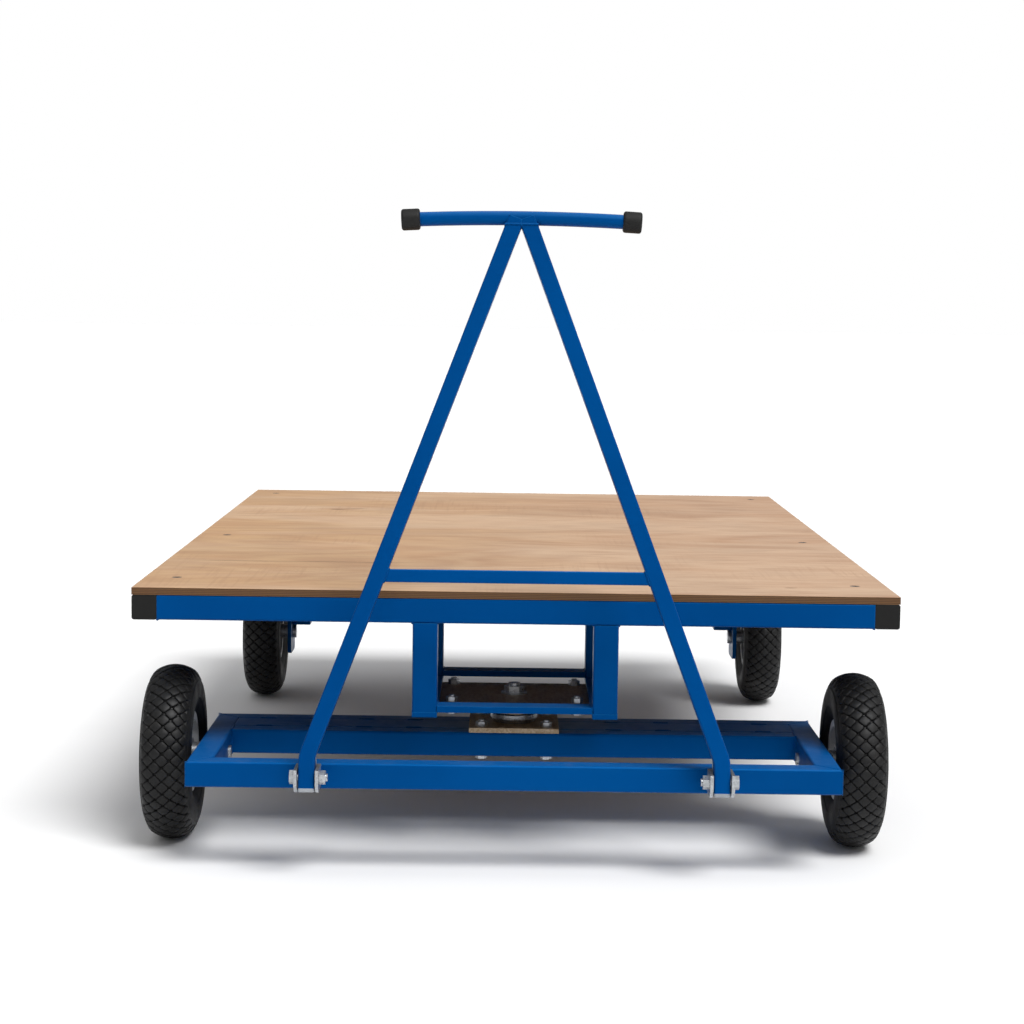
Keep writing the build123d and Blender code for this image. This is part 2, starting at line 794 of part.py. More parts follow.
def drawbar_leg(side):
    inner_side = leg_side - 2 * leg_wall
    leg = leg_sweep(leg_side, leg_corner) - leg_sweep(inner_side, leg_corner - leg_wall / 2)
    leg = leg_trimmed(leg)
    hole = hinge_bolt_diameter / 2 + hinge_running_clearance
    leg -= rod_x(hole, hinge_x - leg_side, hinge_x + leg_side)
    return [drawbar_place(leg if side > 0 else mirrored(leg))]


def cross_bar():
    run = (hinge_x - leg_top_offset) / (grip_bar_height - leg_bend_height)
    half = hinge_x - run * (cross_bar_height - leg_bend_height)
    bar = square_tube(cross_bar_side, cross_bar_wall, cross_bar_corner, 2 * half)
    bar = Pos(-half, 0, cross_bar_height) * Rot(0, 90, 0) * bar
    for leg in both_sides(leg_sweep(leg_side, leg_corner)):
        bar -= leg
    return [drawbar_place(bar)]


def leg_plugs():
    plug_side = leg_side - 2 * leg_wall - 2 * leg_plug_clearance
    top = -leg_below_pivot
    plug = extrude(RectangleRounded(leg_side, leg_side, leg_corner), leg_plug_thickness)
    plug = fillet(plug.edges().group_by(Axis.Z)[0], leg_plug_thickness / 4)
    plug = Pos(hinge_x, 0, top - leg_plug_thickness) * plug
    reach = leg_below_pivot - hinge_bolt_diameter / 2 - leg_plug_clearance
    stem = extrude(RectangleRounded(plug_side, plug_side, leg_wall / 2), min(leg_plug_depth, reach))
    plug += Pos(hinge_x, 0, top) * stem
    return [drawbar_place(shape) for shape in both_sides(plug)]


# ---------------------------------------------------------------- the whole truck

def truck():
    nodes = {
        "deck_board": deck_board(),
        "deck_screws": deck_screws(),
        "deck_tabs": deck_tabs(),
        "front_rail": cross_rail(tube_side / 2),
        "cross_rail_turntable": cross_rail(turntable_cross_y),
        "cross_rail_middle": cross_rail(middle_cross_y),
        "cross_rail_axle": cross_rail(rear_cross_y),
        "rear_rail": cross_rail(platform_length - tube_side / 2),
        "rail_end_caps": rail_end_caps(),
        "turntable_front_posts": turntable_posts(tube_side / 2),
        "turntable_rear_posts": turntable_posts(turntable_cross_y),
        "turntable_runners": turntable_runners(),
        "turntable_tie_bars": turntable_tie_bars(),
        "mounting_plate": mounting_plate(),
        "mounting_bolts": through_bolts(flange_bolt_places(), flange_bottom, runner_bottom),
        "turntable_upper_race": upper_race(),
        "kingpin": kingpin(),
        "kingpin_nut": kingpin_nut(),
        "rear_wheel_posts": rear_wheel_posts(),
        "rear_axle_plates": rear_axle_plates(),
        "rear_stub_axles": rear_axles(),
        "rear_axle_nuts": axle_nuts(rear_track, rear_axle_y),
        "bogie_front_beam": bogie_cross_beam(bogie_front_y, -1),
        "bogie_mid_beam": bogie_mid_beam(),
        "bogie_rear_beam": bogie_rear_beam(),
        "bogie_cover_plate": bogie_cover_plate(),
        "lower_swivel_plate": lower_swivel_plate(),
        "lower_plate_bolts": through_bolts(lower_plate_bolt_places(), bogie_bottom, lower_plate_top),
        "turntable_lower_race": lower_race(),
        "turntable_balls": turntable_balls(),
        "front_stub_axles": front_axles(),
        "front_axle_nuts": axle_nuts(front_track, front_axle_y),
        "hinge_brackets": hinge_brackets(),
        "hinge_bolts": hinge_bolts(),
        "drawbar_cross_bar": cross_bar(),
        "drawbar_grip_bar": grip_bar(),
        "grip_end_caps": grip_caps(),
        "drawbar_leg_plugs": leg_plugs(),
    }
    for name, side in SIDES:
        nodes["side_rail_" + name] = side_rail(side)
        nodes["bogie_side_beam_" + name] = bogie_side_beam(side)
        nodes["drawbar_leg_" + name] = drawbar_leg(side)
        for end, front in (("front", True), ("rear", False)):
            centre = wheel_centre(side, front)
            place_name = end + "_" + name
            nodes["tyre_" + place_name] = tyre(centre)
            nodes["rim_" + place_name] = rim(centre, side)
            nodes["hub_" + place_name] = hub(centre)
            nodes["bearings_" + place_name] = wheel_bearings(centre)
    return nodes


def write_parts():
    os.makedirs("parts", exist_ok=True)
    shift = Pos(0, -origin_y, 0)
    for name, solids in truck().items():
        moved = [shift * solid for solid in solids]
        shape = moved[0] if len(moved) == 1 else Compound(children=moved)
        export_step(shape, "parts/" + name + ".step")


write_parts()
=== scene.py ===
"""Flatbed platform truck: finishes, tyres, weld beads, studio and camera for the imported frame.

Metres, +Z up, front (the drawbar) towards -Y.
"""

import json
import math
import random

import bmesh
import bpy
from mathutils import Matrix, Vector


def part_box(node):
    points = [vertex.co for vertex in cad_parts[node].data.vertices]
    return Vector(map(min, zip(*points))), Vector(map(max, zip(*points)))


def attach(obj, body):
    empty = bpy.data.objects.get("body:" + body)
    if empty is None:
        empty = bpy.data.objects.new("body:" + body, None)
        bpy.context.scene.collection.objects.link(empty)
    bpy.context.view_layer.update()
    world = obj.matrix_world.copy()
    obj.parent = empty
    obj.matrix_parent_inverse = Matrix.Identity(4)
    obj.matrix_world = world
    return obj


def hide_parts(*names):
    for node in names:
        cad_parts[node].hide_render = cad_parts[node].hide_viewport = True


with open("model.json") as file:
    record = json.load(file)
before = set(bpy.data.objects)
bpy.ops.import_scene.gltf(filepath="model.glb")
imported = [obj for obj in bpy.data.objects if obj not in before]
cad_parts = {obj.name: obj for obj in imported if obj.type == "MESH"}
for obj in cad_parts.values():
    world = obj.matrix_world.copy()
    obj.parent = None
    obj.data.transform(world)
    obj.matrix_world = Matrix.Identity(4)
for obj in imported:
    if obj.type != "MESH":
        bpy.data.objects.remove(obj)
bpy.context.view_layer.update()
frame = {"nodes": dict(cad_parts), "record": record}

MM = 0.001
TUBE = 40 * MM
SIDES = (-1, 1)
WHEELS = ("front_left", "front_right", "rear_left", "rear_right")


# ---------------------------------------------------------------- materials

def srgb(red, green, blue):
    """Linear colour from 0-255 display values."""
    linear = []
    for value in (red, green, blue):
        share = value / 255
        linear.append(share / 12.92 if share <= 0.04045 else ((share + 0.055) / 1.055) ** 2.4)
    return (*linear, 1.0)


class Graph:
    """A material's node tree, with short calls for the nodes used here."""

    def __init__(self, name):
        self.material = bpy.data.materials.new(name)
        self.material.use_nodes = True
        self.tree = self.material.node_tree
        self.tree.nodes.clear()
        self.shader = self.node("ShaderNodeBsdfPrincipled")
        output = self.node("ShaderNodeOutputMaterial")
        self.tree.links.new(self.shader.outputs["BSDF"], output.inputs["Surface"])
        self.place = self.node("ShaderNodeTexCoord").outputs["Object"]

    def node(self, kind, **settings):
        made = self.tree.nodes.new(kind)
        for key, value in settings.items():
            setattr(made, key, value)
        return made

    def put(self, socket, value):
        """Link an output to the socket, or set the socket to a constant."""
        if isinstance(value, bpy.types.NodeSocket):
            self.tree.links.new(value, socket)
        else:
            socket.default_value = value

    def set(self, **values):
        """Shader inputs by name, with an underscore for each space."""
        for key, value in values.items():
            self.put(self.shader.inputs[key.replace("_", " ")], value)

    def math(self, operation, first, second=0.0):
        made = self.node("ShaderNodeMath", operation=operation)
        self.put(made.inputs[0], first)
        self.put(made.inputs[1], second)
        return made.outputs[0]

    def plus(self, first, second):
        return self.math("ADD", first, second)

    def minus(self, first, second):
        return self.math("SUBTRACT", first, second)

    def times(self, first, second):
        return self.math("MULTIPLY", first, second)

    def vector_math(self, operation, first, second=(0.0, 0.0, 0.0)):
        made = self.node("ShaderNodeVectorMath", operation=operation)
        self.put(made.inputs[0], first)
        self.put(made.inputs[1], second)
        return made.outputs["Value" if operation in ("DOT_PRODUCT", "LENGTH") else "Vector"]

    def stretched(self, x, y, z, place=None):
        return self.vector_math("MULTIPLY", place or self.place, (x, y, z))

    def noise(self, scale, detail=3.0, rough=0.5, place=None, twist=0.0):
        made = self.node("ShaderNodeTexNoise")
        self.put(made.inputs["Vector"], place or self.place)
        self.put(made.inputs["Scale"], scale)
        self.put(made.inputs["Detail"], detail)
        self.put(made.inputs["Roughness"], rough)
        self.put(made.inputs["Distortion"], twist)
        return made.outputs["Fac"]

    def remap(self, value, low, high, to_low=0.0, to_high=1.0):
        """Smooth step from to_low at low to to_high at high."""
        made = self.node("ShaderNodeMapRange", interpolation_type="SMOOTHSTEP")
        self.put(made.inputs["Value"], value)
        self.put(made.inputs["From Min"], low)
        self.put(made.inputs["From Max"], high)
        self.put(made.inputs["To Min"], to_low)
        self.put(made.inputs["To Max"], to_high)
        return made.outputs["Result"]

    def mix(self, share, first, second):
        """The first colour, turning into the second as the share goes from 0 to 1."""
        made = self.node("ShaderNodeMix", data_type="RGBA", blend_type="MIX")
        self.put(made.inputs["Factor"], share)
        colours = [socket for socket in made.inputs if socket.type == "RGBA"]
        self.put(colours[0], first)
        self.put(colours[1], second)
        return [socket for socket in made.outputs if socket.type == "RGBA"][0]

    def split(self, vector=None):
        made = self.node("ShaderNodeSeparateXYZ")
        self.put(made.inputs[0], vector or self.place)
        return made.outputs

    def band(self, value, middle, half_width, soft):
        """1 within half_width of the middle, falling to 0 over soft."""
        off = self.math("ABSOLUTE", self.minus(value, middle))
        return self.remap(off, half_width, half_width + soft, 1.0, 0.0)

    def soft_edges(self, radius):
        """Rounded shading normal, and how far it turns from the true one: 1 on an edge."""
        rounded = self.node("ShaderNodeBevel", samples=6)
        self.put(rounded.inputs["Radius"], radius)
        true = self.node("ShaderNodeNewGeometry").outputs["Normal"]
        facing = self.vector_math("DOT_PRODUCT", rounded.outputs["Normal"], true)
        return rounded.outputs["Normal"], self.remap(self.minus(1.0, facing), 0.01, 0.2)

    def bump(self, height, strength, depth, normal):
        made = self.node("ShaderNodeBump")
        self.put(made.inputs["Strength"], strength)
        self.put(made.inputs["Distance"], depth)
        self.put(made.inputs["Height"], height)
        self.put(made.inputs["Normal"], normal)
        return made.outputs["Normal"]

    def facing_up(self):
        normal = self.node("ShaderNodeNewGeometry").outputs["Normal"]
        return self.remap(self.split(normal)[2], 0.4, 0.95)


def blue_paint():
    """Powder coat: slow changes of tone, rubbed at the edges with a painted highlight along them, dusty on
    top, and painted light on the faces that look up.
    """
    g = Graph("blue_powder_coat")
    rounded, edge = g.soft_edges(1.6 * MM)
    tone = g.remap(g.noise(3.5, 4.0), 0.3, 0.7)
    colour = g.mix(tone, srgb(0, 59, 120), srgb(0, 66, 130))
    # painted light: the faces that look up are drawn lighter and bluer, as if lit from above
    painted_top_light = g.times(g.facing_up(), 0.45)
    colour = g.mix(painted_top_light, colour, srgb(6, 108, 184))
    # painted highlight: the rounded edges drawn in a lighter blue, as if catching the light
    colour = g.mix(g.times(edge, 0.6), colour, srgb(30, 118, 186))
    rubbed = g.remap(g.noise(46.0, 5.0, 0.65), 0.61, 0.66)
    rubbed = g.times(rubbed, g.times(edge, g.remap(g.noise(7.0, 2.0), 0.5, 0.62)))
    colour = g.mix(g.times(rubbed, 0.7), colour, srgb(98, 112, 122))
    dust = g.times(g.facing_up(), g.remap(g.noise(14.0, 6.0, 0.7), 0.42, 0.75, 0.0, 0.05))
    colour = g.mix(dust, colour, srgb(150, 160, 168))
    scuffed = g.noise(9.0, 7.0, 0.75, g.stretched(1.0, 1.0, 3.0))
    rough = g.remap(scuffed, 0.35, 0.7, 0.34, 0.47)
    orange_peel = g.noise(420.0, 2.0, 0.4)
    g.set(Base_Color=colour, Roughness=g.plus(rough, g.times(rubbed, 0.2)))
    g.set(Normal=g.bump(orange_peel, 0.25, 0.12 * MM, rounded))
    g.set(Specular_IOR_Level=0.42, Specular_Tint=srgb(36, 166, 236))
    return g.material


def veneer(g, low, high):
    """Rotary-cut face with its grain across the deck; gives the colour, the streaks and the pores."""
    across = g.stretched(0.9, 3.0, 1.0)
    rings = g.math("FRACT", g.times(g.noise(1.15, 2.0, 0.42, across, 0.8), 9.0))
    figure = g.remap(g.times(g.math("ABSOLUTE", g.minus(rings, 0.5)), 2.0), 0.0, 1.0)
    warp = g.noise(1.6, 3.0, 0.5, across, 0.6)
    streaks = g.noise(60.0, 6.0, 0.62, g.stretched(0.16, 2.6, 1.0))
    pores = g.noise(300.0, 3.0, 0.6, g.stretched(0.05, 1.5, 1.0))
    side = g.remap(g.split()[0], low.x, high.x)
    face = g.mix(side, srgb(196, 159, 119), srgb(194, 160, 132))
    face = g.mix(g.times(figure, 0.38), face, srgb(172, 128, 96))
    face = g.mix(g.remap(warp, 0.4, 0.68, 0.0, 0.5), face, srgb(216, 187, 158))
    face = g.mix(g.remap(streaks, 0.46, 0.7, 0.0, 0.55), face, srgb(156, 116, 87))
    face = g.mix(g.remap(pores, 0.6, 0.74, 0.0, 0.5), face, srgb(140, 98, 68))
    # faint knife marks across the grain, stronger in patches
    marks = g.noise(160.0, 2.0, 0.5, g.stretched(1.0, 0.03, 1.0))
    patches = g.remap(g.noise(2.6, 2.0), 0.5, 0.64, 0.0, 0.22)
    face = g.mix(g.times(g.remap(marks, 0.5, 0.66), patches), face, srgb(160, 122, 94))
    return face, streaks, pores


# places on the deck, as shares of its length from the front, or from its left or right edge
SPLIT_SHARE, SPLIT_START, SPLIT_END = 0.206, 30 * MM, 500 * MM
KNOT_SHARE, KNOT_FROM_LEFT = 0.743, 225 * MM
MARK_SHARE, MARK_FROM_RIGHT = 0.054, 163 * MM
# sizes of the split, the knot with its halo and sloping tail, and the mark
SPLIT_HALF_WIDTH, SPLIT_WAVE = 1.1 * MM, 10 * MM
SPLIT_FADE_IN, SPLIT_FADE_OUT = 60 * MM, 140 * MM
KNOT_CORE, KNOT_RADIUS = 8 * MM, 17 * MM
HALO_CORE, HALO_RADIUS = 12 * MM, 42 * MM
TAIL_MIDDLE, TAIL_HALF_WIDTH, TAIL_SLOPE = 32 * MM, 2.5 * MM, 0.45
MARK_CORE, MARK_RADIUS = 3 * MM, 7 * MM


def veneer_split(g, low, high):
    """Where a fine wavy split runs in from the left edge."""
    x, y, _ = g.split()
    wave = g.times(g.minus(g.noise(5.0, 3.0), 0.5), SPLIT_WAVE)
    start, end = low.x + SPLIT_START, low.x + SPLIT_END
    run = g.times(g.remap(x, end - SPLIT_FADE_OUT, end, 1.0, 0.0), g.remap(x, start, start + SPLIT_FADE_IN))
    split_y = low.y + SPLIT_SHARE * (high.y - low.y)
    return g.times(g.band(g.plus(y, wave), split_y, SPLIT_HALF_WIDTH, 1.6 * MM), run)


def from_spot(g, spot):
    """Flat offset of each point of the board from a spot on it."""
    return g.vector_math("SUBTRACT", g.stretched(1.0, 1.0, 0.0), spot)


def knot_and_mark(g, face, low, high):
    """A knot with its halo and tail, and a small dark mark."""
    length = high.y - low.y
    off = from_spot(g, Vector((low.x + KNOT_FROM_LEFT, low.y + KNOT_SHARE * length, 0.0)))
    spread = g.vector_math("LENGTH", g.stretched(0.62, 1.4, 1.0, off))
    ripple = g.plus(spread, g.times(g.noise(60.0, 3.0), 5 * MM))
    knot = g.remap(ripple, KNOT_CORE, KNOT_RADIUS, 1.0, 0.0)
    halo = g.remap(ripple, HALO_CORE, HALO_RADIUS, 0.5, 0.0)
    off_x, off_y, _ = g.split(off)
    tail_line = g.minus(off_y, g.times(off_x, TAIL_SLOPE))
    tail = g.band(tail_line, 0.0, TAIL_HALF_WIDTH, 5 * MM)
    tail = g.times(tail, g.band(off_x, TAIL_MIDDLE, 14 * MM, 22 * MM))
    off = from_spot(g, Vector((high.x - MARK_FROM_RIGHT, low.y + MARK_SHARE * length, 0.0)))
    spread = g.vector_math("LENGTH", g.stretched(0.5, 1.6, 1.0, off))
    mark = g.remap(spread, MARK_CORE, MARK_RADIUS, 0.8, 0.0)
    face = g.mix(halo, face, srgb(176, 128, 88))
    face = g.mix(g.times(knot, 0.85), face, srgb(96, 60, 38))
    face = g.mix(g.times(tail, 0.6), face, srgb(118, 80, 54))
    return g.mix(mark, face, srgb(104, 70, 46))


PLIES = 9.0


def plies(g, low, high):
    """Edge of the sheet: plies alternately along and across, with thin dark glue lines."""
    depth = g.times(g.minus(g.split()[2], low.z), PLIES / (high.z - low.z))
    across = g.math("GREATER_THAN", g.math("FRACT", g.times(depth, 0.5)), 0.5)
    fibre = g.noise(220.0, 4.0, 0.6, g.stretched(1.0, 1.0, 0.35))
    colour = g.mix(across, srgb(106, 73, 36), srgb(72, 46, 22))
    colour = g.mix(g.remap(fibre, 0.4, 0.7, 0.0, 0.5), colour, srgb(88, 58, 34))
    glue = g.band(g.math("FRACT", depth), 0.0, 0.05, 0.05)
    return g.mix(g.times(glue, 0.6), colour, srgb(58, 38, 26))


def plywood(low, high):
    g = Graph("birch_plywood")
    rounded, edge = g.soft_edges(0.8 * MM)
    face, streaks, pores = veneer(g, low, high)
    face = knot_and_mark(g, face, low, high)
    split = veneer_split(g, low, high)
    face = g.mix(g.times(split, 0.85), face, srgb(74, 46, 28))
    colour = g.mix(g.facing_up(), plies(g, low, high), face)
    colour = g.mix(g.times(edge, 0.2), colour, srgb(140, 98, 60))
    height = g.minus(g.plus(g.times(streaks, 0.6), g.times(pores, -0.5)), g.times(split, 2.0))
    g.set(Base_Color=colour, Normal=g.bump(height, 0.35, 0.25 * MM, rounded))
    g.set(Roughness=g.remap(g.noise(6.0, 4.0), 0.3, 0.7, 0.42, 0.6), Specular_IOR_Level=0.4)
    return g.material


def tyre_rubber():
    g = Graph("tyre_rubber")
    mottled = g.remap(g.noise(38.0, 5.0, 0.6), 0.3, 0.75)
    colour = g.mix(mottled, srgb(11, 11, 12), srgb(19, 19, 20))
    rounded, edge = g.soft_edges(0.8 * MM)
    # painted highlight: the rounded edges drawn lighter grey, as if catching the light
    colour = g.mix(g.times(edge, 0.45), colour, srgb(60, 60, 61))
    dust = g.remap(g.noise(11.0, 6.0, 0.7), 0.52, 0.8, 0.0, 0.16)
    colour = g.mix(dust, colour, srgb(112, 106, 98))
    g.set(Base_Color=colour, Roughness=g.remap(g.noise(24.0, 4.0), 0.3, 0.7, 0.5, 0.68))
    g.set(Normal=g.bump(g.noise(700.0, 3.0, 0.6), 0.3, 0.15 * MM, rounded), Specular_IOR_Level=0.32)
    return g.material


# how much lighter the painted highlight on moulded edges is
EDGE_HIGHLIGHT = 26


def moulded(name, dark, light, rough, grain):
    """Plastic, rubber or thick paint with a fine grain."""
    g = Graph(name)
    rounded, edge = g.soft_edges(1.0 * MM)
    colour = g.mix(g.remap(g.noise(26.0, 5.0), 0.3, 0.7), srgb(*dark), srgb(*light))
    # painted highlight: the rounded edges drawn lighter than the light tone, as if catching the light
    worn = tuple(min(255, value + EDGE_HIGHLIGHT) for value in light)
    colour = g.mix(g.times(edge, 0.5), colour, srgb(*worn))
    g.set(Base_Color=colour, Roughness=g.remap(g.noise(18.0, 4.0), 0.3, 0.7, rough, rough + 0.14))
    g.set(Normal=g.bump(g.noise(grain, 2.0, 0.6), 0.35, 0.12 * MM, rounded), Specular_IOR_Level=0.3)
    return g.material


def plated(name, dark, light, rough, stain):
    """Plated steel: mottled plating, a little stain and dull patches."""
    g = Graph(name)
    rounded, edge = g.soft_edges(0.7 * MM)
    spangle = g.node("ShaderNodeTexVoronoi", feature="F1")
    g.put(spangle.inputs["Vector"], g.place)
    g.put(spangle.inputs["Scale"], 340.0)
    crystals = g.split(spangle.outputs["Color"])[0]
    stained = g.remap(g.noise(30.0, 6.0, 0.7), 0.5, 0.75, 0.0, 0.6)
    colour = g.mix(g.times(crystals, 0.7), srgb(*dark), srgb(*light))
    colour = g.mix(stained, colour, srgb(*stain))
    # painted highlight: the rounded edges drawn in the light tone, as if catching the light
    colour = g.mix(g.times(edge, 0.4), colour, srgb(*light))
    scratched = g.noise(160.0, 4.0, 0.7, g.stretched(1.0, 0.15, 1.0))
    dull = g.remap(scratched, 0.3, 0.7, rough, rough + 0.18)
    g.set(Base_Color=colour, Metallic=0.85, Roughness=g.plus(dull, g.times(crystals, 0.06)))
    g.set(Normal=g.bump(scratched, 0.2, 0.06 * MM, rounded))
    return g.material


# the rim's bolts stand out from the web inside this radius, and its valve sits at this height
BOLT_REACH, WEB_HALF = 42.2 * MM, 5.62 * MM
VALVE_HEIGHT, VALVE_RADIUS = 44 * MM, 3.96 * MM


def rim_finish(name, centre):
    """Grey paint on the pressed halves, zinc on the bolts and rubber on the valve."""
    g = Graph(name)
    rounded, edge = g.soft_edges(1.0 * MM)
    local = g.vector_math("SUBTRACT", g.place, centre)
    flat = g.stretched(0.0, 1.0, 1.0, local)
    near_hub = g.math("LESS_THAN", g.vector_math("LENGTH", flat), BOLT_REACH)
    off_web = g.math("GREATER_THAN", g.math("ABSOLUTE", g.split(local)[0]), WEB_HALF)
    bolts = g.times(near_hub, off_web)
    from_valve = g.vector_math("SUBTRACT", flat, (0.0, 0.0, VALVE_HEIGHT))
    valve = g.math("LESS_THAN", g.vector_math("LENGTH", from_valve), VALVE_RADIUS)
    grime = g.remap(g.noise(22.0, 6.0, 0.7), 0.45, 0.75, 0.0, 0.35)
    paint = g.mix(g.remap(g.noise(12.0, 4.0), 0.3, 0.7), srgb(172, 174, 176), srgb(192, 194, 195))
    # painted highlight: the rounded edges of the pressed halves drawn lighter, as if catching the light
    paint = g.mix(g.times(edge, 0.4), paint, srgb(214, 215, 216))
    paint = g.mix(grime, paint, srgb(110, 106, 100))
    colour = g.mix(bolts, paint, srgb(168, 170, 172))
    colour = g.mix(valve, colour, srgb(26, 26, 27))
    g.set(Base_Color=colour, Metallic=g.times(bolts, 0.85))
    g.set(Roughness=g.remap(g.noise(30.0, 4.0), 0.3, 0.7, 0.34, 0.48))
    g.set(Normal=g.bump(g.noise(380.0, 2.0), 0.25, 0.1 * MM, rounded))
    return g.material


def floor_material():
    g = Graph("pale_floor")
    tone = g.remap(g.noise(1.5, 4.0), 0.3, 0.7)
    g.set(Base_Color=g.mix(tone, srgb(243, 243, 243), srgb(246, 246, 246)))
    g.set(Roughness=0.85, Specular_IOR_Level=0.1)
    return g.material


# slot: material's name, dark tone, light tone, least roughness, scale of the grain
MOULDED = {
    "black_plastic": ("black_plastic", (7, 7, 6), (12, 12, 10), 0.5, 520.0),
    "black_rubber": ("black_rubber", (15, 15, 14), (24, 24, 23), 0.55, 360.0),
    "rim_grey_paint": ("hub_grey_paint", (168, 170, 172), (188, 190, 191), 0.34, 380.0),
    "grey_plastic": ("grey_plastic", (138, 142, 148), (158, 162, 168), 0.4, 420.0),
}
# material's name: dark tone, light tone, least roughness, stain
PLATED = {
    "bearing_steel": ((150, 152, 156), (196, 198, 201), 0.2, (120, 112, 100)),
    "passivated_plate": ((150, 128, 100), (196, 180, 156), 0.36, (112, 82, 62)),
    "worn_zinc": ((84, 84, 86), (128, 129, 131), 0.4, (70, 62, 54)),
    "zinc_plate": ((166, 169, 173), (206, 209, 212), 0.24, (128, 126, 122)),
}


def make_materials():
    low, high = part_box("deck_board")
    made = {
        "blue_paint": blue_paint(),
        "plywood": plywood(Vector(low), Vector(high)),
        "tyre_rubber": tyre_rubber(),
    }
    for slot, look in MOULDED.items():
        made[slot] = moulded(*look)
    for name, look in PLATED.items():
        made[name] = plated(name, *look)
    return made


def finish_nodes(materials):
    """Each CAD node gets its slot's material; the deck screws are worn, and each rim has its own."""
    slots = {part["node"]: part["material_slot"] for part in frame["record"]["subparts"]}
    for name, piece in frame["nodes"].items():
        if name.startswith("rim_"):
            low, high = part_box(name.replace("rim_", "tyre_"))
            material = rim_finish("finish_" + name, (Vector(low) + Vector(high)) / 2)
        elif name == "deck_screws":
            material = materials["worn_zinc"]
        else:
            material = materials[slots[name]]
        if not piece.data.materials:
            piece.data.materials.append(material)
        for slot in piece.material_slots:
            slot.material = material


# ---------------------------------------------------------------- mesh helpers

def new_piece(name, mesh_maker, body, material):
    mesh = bpy.data.meshes.new(name)
    built = bmesh.new()
    mesh_maker(built)
    bmesh.ops.recalc_face_normals(built, faces=built.faces)
    for face in built.faces:
        face.smooth = True
    built.to_mesh(mesh)
    built.free()
    piece = bpy.data.objects.new(name, mesh)
    bpy.context.scene.collection.objects.link(piece)
    mesh.materials.append(material)
    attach(piece, body)
    return piece


def skin(built, here, there):
    """Faces between two rings of the same count."""
    for i in range(len(here)):
        k = (i + 1) % len(here)
        built.faces.new((here[i], here[k], there[k], there[i]))


def arc_points(start, middle, end, count):
    """Points along the circle through three points of a plane, both ends included."""
    (ax, ay), (bx, by), (cx, cy) = start, middle, end
    a, b, c = ax**2 + ay**2, bx**2 + by**2, cx**2 + cy**2
    double_area = 2 * (ax * (by - cy) + bx * (cy - ay) + cx * (ay - by))
    centre_x = (a * (by - cy) + b * (cy - ay) + c * (ay - by)) / double_area
    centre_y = (a * (cx - bx) + b * (ax - cx) + c * (bx - ax)) / double_area
    radius = math.hypot(ax - centre_x, ay - centre_y)
    first, passed, last = (math.atan2(y - centre_y, x - centre_x) for x, y in (start, middle, end))
    full = 2 * math.pi
    sweep = (last - first) % full
    if (passed - first) % full > sweep:
        sweep -= full
    turns = [first + sweep * i / count for i in range(count + 1)]
    return [(centre_x + radius * math.cos(turn), centre_y + radius * math.sin(turn)) for turn in turns]


# ---------------------------------------------------------------- tyres, in millimetres

TYRE_RADIUS, TYRE_HALF = 143.0, 42.0
BEAD_X, BEAD_RADIUS, BEAD_TOP = 29.0, 56.0, 68.0
TREAD_HALF, SHOULDER_RADIUS = 31.0, 133.0
INNER_SIDE = ((BEAD_X, BEAD_RADIUS), (21.0, BEAD_RADIUS), (35.0, 100.5), (24.0, 125.0))
INNER_CROWN = (0.0, 131.0)
# how far every face stays under the outer outline
SKIN = 0.08
# the tread reaches this far from the crown along the outline, and its grooves rise to the wall over a slope
GROOVE_DEPTH, TREAD_REACH, TREAD_SLOPE = 4.4, 44.0, 6.0
# ribs stand on the wall: distance from the tread, half width, height
WALL_DEPTH = 1.1
WALL_RIBS = ((8.0, 1.3, 1.0), (12.0, 0.7, 0.6), (15.0, 0.7, 0.6), (31.0, 0.8, 0.7), (36.0, 1.8, 1.05))
LUG_COLUMNS, LUG_ROWS, LUG_STEP = 7, 40, 12.4
# a lug's half diagonals, across and around the tyre, and the share of them that its cut corners take
LUG_ACROSS, LUG_AROUND, LUG_CORNER = 10.9, 9.7, 0.2
# depth and size of a lug's rings, from its sunk root to the rim of its top
LUG_LEVELS = ((GROOVE_DEPTH + 1.1, 1.0), (0.9, 0.86), (0.35, 0.8), (SKIN, 0.7))
ARC_STEPS_SIDE, ARC_STEPS_CROWN = 40, 48
STEPS_ACROSS, STEPS_AROUND = 160, 144
# each wheel stands turned a little further than the one before
TURN_STEP = 0.37


def tyre_outline():
    """Outer outline from one bead to the other, as (x, radius), with lengths from the crown."""
    bead, shoulder = (BEAD_X, BEAD_TOP), (TREAD_HALF, SHOULDER_RADIUS)
    wall = (TYRE_HALF, (BEAD_TOP + SHOULDER_RADIUS) / 2)
    side = arc_points(bead, wall, shoulder, ARC_STEPS_SIDE)
    crown = arc_points(shoulder, (0.0, TYRE_RADIUS), (-TREAD_HALF, SHOULDER_RADIUS), ARC_STEPS_CROWN)
    other = [(-x, r) for x, r in reversed(side)]
    points = side + crown[1:] + other[1:]
    lengths = [0.0]
    for (x0, r0), (x1, r1) in zip(points, points[1:]):
        lengths.append(lengths[-1] + math.hypot(x1 - x0, r1 - r0))
    half = lengths[-1] / 2
    return points, [length - half for length in lengths]


def outline_at(outline, s):
    """Point and outward direction at the length s from the crown."""
    points, lengths = outline
    i = 1
    while i < len(lengths) - 1 and lengths[i] < s:
        i += 1
    share = (s - lengths[i - 1]) / (lengths[i] - lengths[i - 1])
    (x0, r0), (x1, r1) = points[i - 1], points[i]
    step = math.hypot(x1 - x0, r1 - r0)
    out = ((r1 - r0) / step, -(x1 - x0) / step)
    return (x0 + (x1 - x0) * share, r0 + (r1 - r0) * share), out


def wheel_point(centre, x, radius, turn):
    return centre + Vector((x, radius * math.cos(turn), radius * math.sin(turn))) * MM


def tyre_point(outline, centre, s, turn, depth):
    """A point at the depth under the outer outline."""
    (x, r), (out_x, out_r) = outline_at(outline, s)
    return wheel_point(centre, x - out_x * depth, r - out_r * depth, turn)


def smooth_step(value):
    value = min(1.0, max(0.0, value))
    return value * value * (3 - 2 * value)


